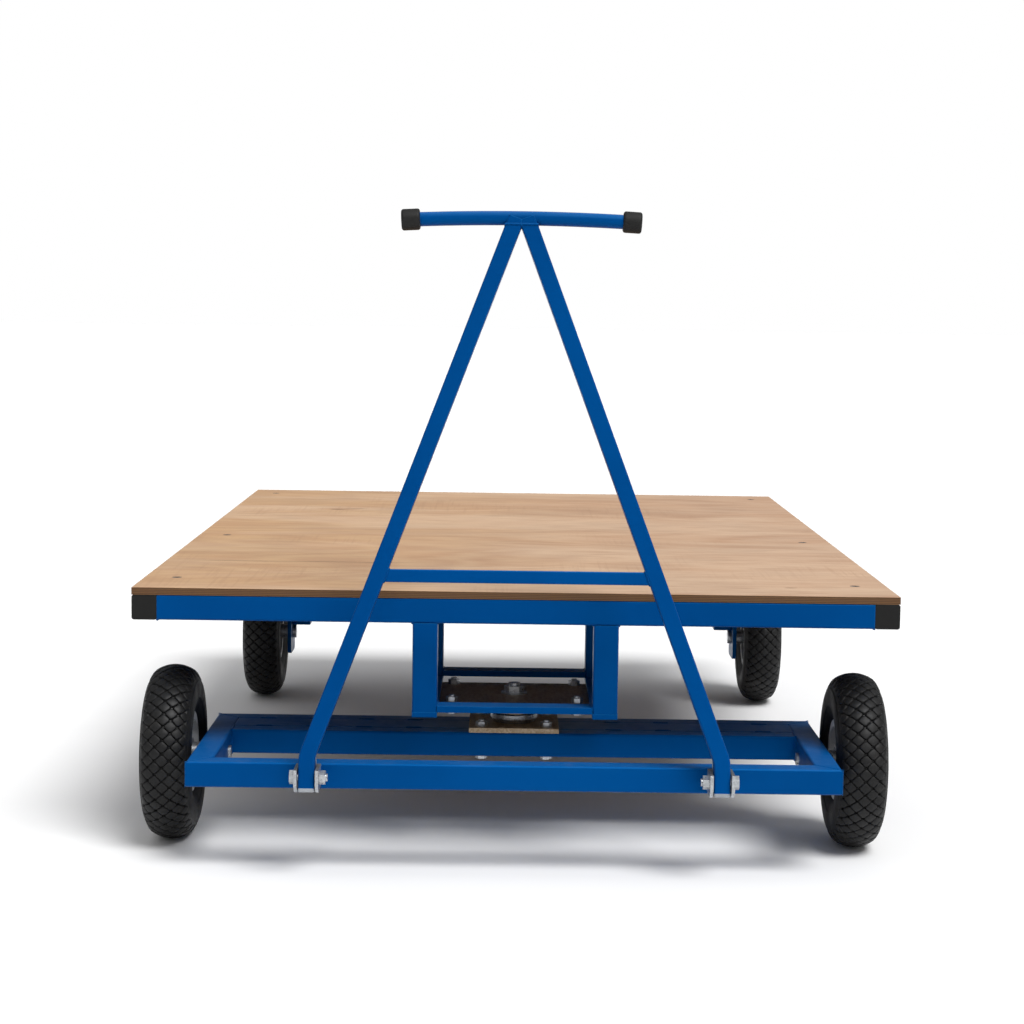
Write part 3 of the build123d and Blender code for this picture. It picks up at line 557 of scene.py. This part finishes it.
def casing_depth(s):
    """Depth of the casing at the length s: grooves in the tread, raised ribs on the wall."""
    depth = SKIN + GROOVE_DEPTH * smooth_step((TREAD_REACH - abs(s)) / TREAD_SLOPE)
    depth = max(depth, SKIN + WALL_DEPTH)
    for place, half_width, height in WALL_RIBS:
        depth -= height * smooth_step(1.5 - abs(abs(s) - TREAD_REACH - place) / half_width)
    return max(SKIN, depth)


def build_casing(built, outline, centre, start_turn):
    half = outline[1][-1]
    steps = [2 * half * i / STEPS_ACROSS - half for i in range(STEPS_ACROSS + 1)]
    inside = [(-x, r) for x, r in INNER_SIDE] + [INNER_CROWN, *reversed(INNER_SIDE)]
    rings = []
    for j in range(STEPS_AROUND):
        turn = start_turn + 2 * math.pi * j / STEPS_AROUND
        ring = [tyre_point(outline, centre, s, turn, casing_depth(s)) for s in steps]
        ring += [wheel_point(centre, x, r, turn) for x, r in inside]
        rings.append([built.verts.new(point) for point in ring])
    for here, there in zip(rings, rings[1:] + rings[:1]):
        skin(built, here, there)


def lug_shape():
    """A diamond with cut corners, in half diagonals."""
    shape = []
    for a, b in ((1, 0), (0, 1), (-1, 0), (0, -1)):
        for cut in (-LUG_CORNER, LUG_CORNER):
            shape.append((a - b * cut, b + a * cut))
    return shape


def build_lug(built, outline, centre, place, turn):
    rings = []
    for depth, size in LUG_LEVELS:
        ring = []
        for a, b in lug_shape():
            s = place + a * LUG_ACROSS * size
            angle = turn + b * LUG_AROUND * size / TYRE_RADIUS
            ring.append(built.verts.new(tyre_point(outline, centre, s, angle, depth)))
        rings.append(ring)
    for lower, upper in zip(rings, rings[1:]):
        skin(built, lower, upper)
    top = built.verts.new(tyre_point(outline, centre, place, turn, SKIN))
    for i, corner in enumerate(rings[-1]):
        built.faces.new((corner, rings[-1][(i + 1) % len(rings[-1])], top))


def build_tread(built, outline, centre, start_turn):
    """Columns of lugs side by side, every second one half a lug further round."""
    for column in range(LUG_COLUMNS):
        place = (column - (LUG_COLUMNS - 1) / 2) * LUG_STEP
        for row in range(LUG_ROWS):
            turn = start_turn + 2 * math.pi * (row + 0.5 * (column % 2)) / LUG_ROWS
            build_lug(built, outline, centre, place, turn)


def make_tyres(material):
    outline = tyre_outline()
    for index, wheel in enumerate(WHEELS):
        node = "tyre_" + wheel
        low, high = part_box(node)
        centre = (Vector(low) + Vector(high)) / 2
        start_turn = TURN_STEP * index

        def tyre(built, centre=centre, start_turn=start_turn):
            build_casing(built, outline, centre, start_turn)
            build_tread(built, outline, centre, start_turn)

        piece = new_piece("tread_tyre_" + wheel, tyre, "wheel_" + wheel, material)
        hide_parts(node)


# ---------------------------------------------------------------- weld beads

BEAD_STEP, BEAD_CORNERS = 1.1 * MM, 8
# a bead swells every few steps, is a little uneven, and starts and ends thin
SWELL, SWELL_STEPS, UNEVEN = 0.13, 3.0, 0.06
END_SHARE, END_GROWTH = 0.45, 0.3
# radii, from the widest bead to seams that are ground nearly flush
WIDE_BEAD, FRAME_BEAD, SMALL_BEAD, BEAM_BEAD = 2.6 * MM, 2.2 * MM, 1.8 * MM, 1.7 * MM
LEG_SEAM, STITCH_BEAD, GROUND_SEAM = 1.5 * MM, 1.2 * MM, 0.6 * MM
# beads stop short of outer faces, and keep in from the rounded edges of a tube's end
STOP_SHORT, END_INSET = 3 * MM, 2 * MM


def bead_stations(points, closed):
    path = [Vector(point) for point in points]
    if closed:
        path.append(path[0])
    stations = []
    for a, b in zip(path, path[1:]):
        count = max(2, round((b - a).length / BEAD_STEP))
        stations += [a.lerp(b, i / count) for i in range(count)]
    if not closed:
        stations.append(path[-1])
    return stations


def matched(here, there):
    """The ring there, renumbered to run like the ring here, so that a bend doesn't twist the skin."""
    count = len(there)
    shift = min(range(count), key=lambda k: (there[k].co - here[0].co).length)
    ahead = (there[(shift + 1) % count].co - here[1].co).length
    behind = (there[shift - 1].co - here[1].co).length
    order = 1 if ahead < behind else -1
    return [there[(shift + order * k) % count] for k in range(count)]


def weld_bead(built, points, radius, closed, rng):
    """A rippled bead along a path: rings that swell and shrink like laid drops of weld."""
    stations = bead_stations(points, closed)
    last = len(stations) - 1
    rings = []
    for i, station in enumerate(stations):
        before = stations[i - 1] if i or closed else station
        after = stations[(i + 1) % len(stations)] if i < last or closed else station
        way = (after - before).normalized()
        side = way.orthogonal().normalized()
        up = way.cross(side)
        ripple = 1.0 + SWELL * math.sin(i * 2 * math.pi / SWELL_STEPS) + rng.uniform(-UNEVEN, UNEVEN)
        swell = radius * ripple
        if not closed:
            swell *= min(1.0, END_SHARE + END_GROWTH * min(i, last - i))
        ring = []
        for k in range(BEAD_CORNERS):
            turn = 2 * math.pi * k / BEAD_CORNERS
            ring.append(built.verts.new(station + (side * math.cos(turn) + up * math.sin(turn)) * swell))
        rings.append(ring)
    pairs = list(zip(rings, rings[1:]))
    if closed:
        pairs.append((rings[-1], rings[0]))
    else:
        built.faces.new(rings[0])
        built.faces.new(rings[-1])
    for here, there in pairs:
        skin(built, here, matched(here, there))


def footprint(x0, x1, y0, y1, z):
    return [(x0, y0, z), (x1, y0, z), (x1, y1, z), (x0, y1, z)]


def tube_end(x, y0, y1, z0, z1):
    return [(x, y0, z1), (x, y0, z0), (x, y1, z0), (x, y1, z1)]


# every path below is its points, the bead's radius, and whether it closes

def post_welds(rail_bottom):
    """Round the head of each post, and round the foot of each turntable post."""
    paths = []
    for node in ("turntable_front_posts", "turntable_rear_posts", "rear_wheel_posts"):
        low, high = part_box(node)
        for side in SIDES:
            x0, x1 = sorted((side * high[0], side * (high[0] - TUBE)))
            if node == "turntable_front_posts":
                # the front faces are ground flush
                for z, inset in ((rail_bottom, 0.0), (low[2], END_INSET)):
                    ring = footprint(x0 + inset, x1 - inset, low[1] + STOP_SHORT, high[1], z)
                    paths.append(([ring[0], ring[3], ring[2], ring[1]], WIDE_BEAD, False))
                continue
            paths.append((footprint(x0, x1, low[1], high[1], rail_bottom), FRAME_BEAD, True))
            if node == "turntable_rear_posts":
                foot = footprint(x0 + END_INSET, x1 - END_INSET, low[1], high[1], low[2])
                paths.append((foot, SMALL_BEAD, True))
    return paths


def rail_end_welds(rail_bottom, rail_top):
    """Down, under and up each end of the rails, apart from the outer faces of the first and last."""
    paths = []
    for node in ("front_rail", "cross_rail_turntable", "cross_rail_middle", "cross_rail_axle", "rear_rail"):
        low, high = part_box(node)
        for x in (low[0], high[0]):
            end = tube_end(x, low[1], high[1], rail_bottom, rail_top - STOP_SHORT)
            if node == "front_rail":
                end = [(x, low[1] + STOP_SHORT, rail_bottom)] + end[2:]
            if node == "rear_rail":
                end = end[:2] + [(x, high[1] - STOP_SHORT, rail_bottom)]
            paths.append((end, FRAME_BEAD, False))
    return paths


def chassis_welds():
    rail_low, rail_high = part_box("front_rail")
    paths = post_welds(rail_low[2]) + rail_end_welds(rail_low[2], rail_high[2])
    bars_low, bars_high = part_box("turntable_tie_bars")
    for x in (bars_low[0], bars_high[0]):
        for y, inward in ((bars_low[1], TUBE), (bars_high[1], -TUBE)):
            paths.append(([(x, y, bars_high[2]), (x, y + inward, bars_high[2])], SMALL_BEAD, False))
    post_low, post_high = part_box("rear_wheel_posts")
    _, plate_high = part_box("rear_axle_plates")
    for side in SIDES:
        for y in (post_low[1], post_high[1]):
            x = side * post_high[0]
            paths.append(([(x, y, post_low[2]), (x, y, plate_high[2])], FRAME_BEAD, False))
    return paths


# a bead beside a bracket's ear starts above the beam's lower edge and ends under its upper one
BRACKET_WIDTH, EAR_BEAD_FOOT, EAR_BEAD_HEAD = 38 * MM, 4 * MM, 2 * MM
STITCHES_EACH_WAY, STITCH_PITCH, STITCH_HALF = 5, 84 * MM, 14 * MM
# the swivel plate covers the middle of the cover plate's edges
SWIVEL_HALF = 95 * MM


def bogie_welds():
    paths = []
    front_low, front_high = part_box("bogie_front_beam")
    top, bottom = front_high[2], front_low[2]
    low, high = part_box("bogie_mid_beam")
    for x in (low[0], high[0]):
        ring = [(x, low[1], bottom), (x, low[1], top), (x, high[1], top), (x, high[1], bottom)]
        paths.append((ring, BEAM_BEAD, True))
    low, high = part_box("bogie_rear_beam")
    for side in SIDES:
        outer, inner = side * front_high[0], side * (front_high[0] - TUBE)
        for y_out, y_in in ((front_low[1], front_high[1]), (high[1], low[1])):
            seam = [(outer, y_out, bottom), (outer, y_out, top), (inner, y_in, top), (inner, y_in, bottom)]
            paths.append((seam, GROUND_SEAM, False))
    _, ears_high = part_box("hinge_brackets")
    for side in SIDES:
        for x in (side * ears_high[0], side * (ears_high[0] - BRACKET_WIDTH)):
            foot, head = bottom + EAR_BEAD_FOOT, top - EAR_BEAD_HEAD
            ends = [(x, front_low[1], foot), (x, front_low[1], head)]
            paths.append((ends, SMALL_BEAD, False))
    plate_low, plate_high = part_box("bogie_cover_plate")
    for y in (plate_low[1], plate_high[1]):
        for number in range(-STITCHES_EACH_WAY, STITCHES_EACH_WAY + 1):
            x = number * STITCH_PITCH
            if abs(x) > SWIVEL_HALF:
                stitch = [(x - STITCH_HALF, y, plate_high[2]), (x + STITCH_HALF, y, plate_high[2])]
                paths.append((stitch, STITCH_BEAD, False))
    return paths


# the drawbar is laid out upright from its hinge, and then leans back
HINGE_Y, HINGE_Z = -0.976, 0.158
DRAWBAR_LEAN = math.radians(6.0)
LEG_HALF, LEG_FOOT_X = 12.5 * MM, 318.4 * MM
LEG_BEND, LEG_TOP, LEG_TOP_X = 32 * MM, 863 * MM, 7.8 * MM
# the bead round both legs lies this far under their tops, at the underside of the grip bar
COLLAR_DROP = 10.5 * MM
CROSS_BAR_HEIGHT, CROSS_BAR_HALF = 311 * MM, 10 * MM


def on_drawbar(x, y, height):
    """A point given in the upright drawbar's plane, leaned back with it."""
    lean_y, lean_z = math.sin(DRAWBAR_LEAN), math.cos(DRAWBAR_LEAN)
    return (x, HINGE_Y + y * lean_z + height * lean_y, HINGE_Z + height * lean_z - y * lean_y)


def drawbar_welds():
    """Round the cross bar's ends, round both legs under the grip bar, and down between the legs."""
    run = (LEG_FOOT_X - LEG_TOP_X) / (LEG_TOP - LEG_BEND)
    half_width = LEG_HALF * math.sqrt(1 + run * run)

    def leg_x(height):
        return LEG_FOOT_X - run * (height - LEG_BEND)

    paths = []
    for side in SIDES:
        ring = []
        for up, back in ((-1, -1), (-1, 1), (1, 1), (1, -1)):
            height = CROSS_BAR_HEIGHT + up * CROSS_BAR_HALF
            x = side * (leg_x(height) - half_width)
            ring.append(on_drawbar(x, back * CROSS_BAR_HALF, height))
        paths.append((ring, SMALL_BEAD, True))
    height = LEG_TOP - COLLAR_DROP
    reach = leg_x(height) + half_width
    corners = footprint(-reach, reach, -LEG_HALF, LEG_HALF, height)
    paths.append(([on_drawbar(*corner) for corner in corners], BEAM_BEAD, True))
    seam_start = LEG_BEND + (LEG_FOOT_X - half_width) / run
    for y in (-LEG_HALF, LEG_HALF):
        paths.append(([on_drawbar(0.0, y, seam_start), on_drawbar(0.0, y, height)], LEG_SEAM, False))
    return paths


FIRST_SEED = 11


def make_welds(material):
    groups = (("chassis", chassis_welds()), ("bogie", bogie_welds()), ("drawbar", drawbar_welds()))
    for number, (body, paths) in enumerate(groups):
        rng = random.Random(FIRST_SEED + number)

        def beads(built, paths=paths, rng=rng):
            for points, radius, closed in paths:
                weld_bead(built, points, radius, closed, rng)

        new_piece("weld_beads_" + body, beads, body, material)


# ---------------------------------------------------------------- floor, light and camera

FLOOR_HALF, FLOOR_GAP = 60.0, 0.5 * MM
# the sky's strength at the horizon and above a height, as everything but the camera sees it
SKY_LOW, SKY_HIGH, SKY_HEIGHT = 0.07, 0.7, 0.9


def add_floor():
    mesh = bpy.data.meshes.new("studio_floor")
    built = bmesh.new()
    bmesh.ops.create_grid(built, x_segments=8, y_segments=8, size=FLOOR_HALF)
    built.to_mesh(mesh)
    built.free()
    floor = bpy.data.objects.new("studio_floor", mesh)
    floor.location = (0.0, 0.0, -FLOOR_GAP)
    bpy.context.scene.collection.objects.link(floor)
    mesh.materials.append(floor_material())


def hang_lamp(name, light, direction):
    """A lamp that shines from the direction."""
    lamp = bpy.data.objects.new(name, light)
    lamp.rotation_euler = (-Vector(direction)).to_track_quat("-Z", "Y").to_euler()
    bpy.context.scene.collection.objects.link(lamp)
    return lamp


def area_light(name, place, target, size, power):
    light = bpy.data.lights.new(name, "AREA")
    light.shape = "RECTANGLE"
    light.size, light.size_y = size
    light.energy = power
    lamp = hang_lamp(name, light, Vector(place) - Vector(target))
    lamp.location = place


def sun_light(name, direction, softness, strength):
    light = bpy.data.lights.new(name, "SUN")
    light.angle = math.radians(softness)
    light.energy = strength
    hang_lamp(name, light, direction)


def add_backdrop():
    """White behind the truck, but a sky that is dim at the horizon for all that it lights."""
    world = bpy.data.worlds.new("studio")
    world.use_nodes = True
    nodes, links = world.node_tree.nodes, world.node_tree.links
    direction = nodes.new("ShaderNodeTexCoord").outputs["Generated"]
    height = nodes.new("ShaderNodeSeparateXYZ")
    links.new(direction, height.inputs[0])
    sky = nodes.new("ShaderNodeMapRange")
    links.new(height.outputs["Z"], sky.inputs["Value"])
    sky.inputs["From Max"].default_value = SKY_HEIGHT
    sky.inputs["To Min"].default_value = SKY_LOW
    sky.inputs["To Max"].default_value = SKY_HIGH
    seen = nodes.new("ShaderNodeLightPath").outputs["Is Camera Ray"]
    strength = nodes.new("ShaderNodeMath")
    strength.operation = "MAXIMUM"
    links.new(seen, strength.inputs[0])
    links.new(sky.outputs["Result"], strength.inputs[1])
    backdrop = nodes["Background"]
    backdrop.inputs["Color"].default_value = (1.0, 1.0, 1.0, 1.0)
    links.new(strength.outputs[0], backdrop.inputs["Strength"])
    bpy.context.scene.world = world


def add_lights():
    """Soft light from above and in front, with a weak fill on the front faces."""
    sun_light("top_light", direction=(0.42, -0.55, 1.0), softness=30.0, strength=2.8)
    place, target = (-0.6, -5.2, 1.9), (0.0, -0.6, 0.35)
    area_light("front_fill", place, target, size=(3.4, 1.6), power=5.0)


# the photograph's viewing angle: focal length over image width, place, and three turns in radians
FOCAL_SHARE = 2.21733
CAMERA_PLACE = Vector((-0.01989, -4.40555, 0.89531))
CAMERA_YAW, CAMERA_PITCH, CAMERA_ROLL = 0.00316, 0.09433, -0.01377
SENSOR = 36.0
NEAREST, FURTHEST = 0.05, 200.0


def add_camera():
    settings = bpy.data.cameras.new("view")
    settings.sensor_width = SENSOR
    settings.lens = SENSOR * FOCAL_SHARE
    settings.clip_start, settings.clip_end = NEAREST, FURTHEST
    camera = bpy.data.objects.new("view", settings)
    bpy.context.scene.collection.objects.link(camera)
    level = math.cos(CAMERA_PITCH)
    ahead = Vector((math.sin(CAMERA_YAW) * level, math.cos(CAMERA_YAW) * level, -math.sin(CAMERA_PITCH)))
    right = Vector((math.cos(CAMERA_YAW), -math.sin(CAMERA_YAW), 0.0))
    up = right.cross(ahead)
    tilt, rest = math.sin(CAMERA_ROLL), math.cos(CAMERA_ROLL)
    axes = (right * rest - up * tilt, right * tilt + up * rest, -ahead)
    turn = Matrix(axes).transposed()
    camera.matrix_world = Matrix.Translation(CAMERA_PLACE) @ turn.to_4x4()
    bpy.context.scene.camera = camera


materials = make_materials()
finish_nodes(materials)
make_tyres(materials["tyre_rubber"])
make_welds(materials["blue_paint"])
add_floor()
add_backdrop()
add_lights()
add_camera()
bpy.context.scene.view_settings.view_transform = "Standard"
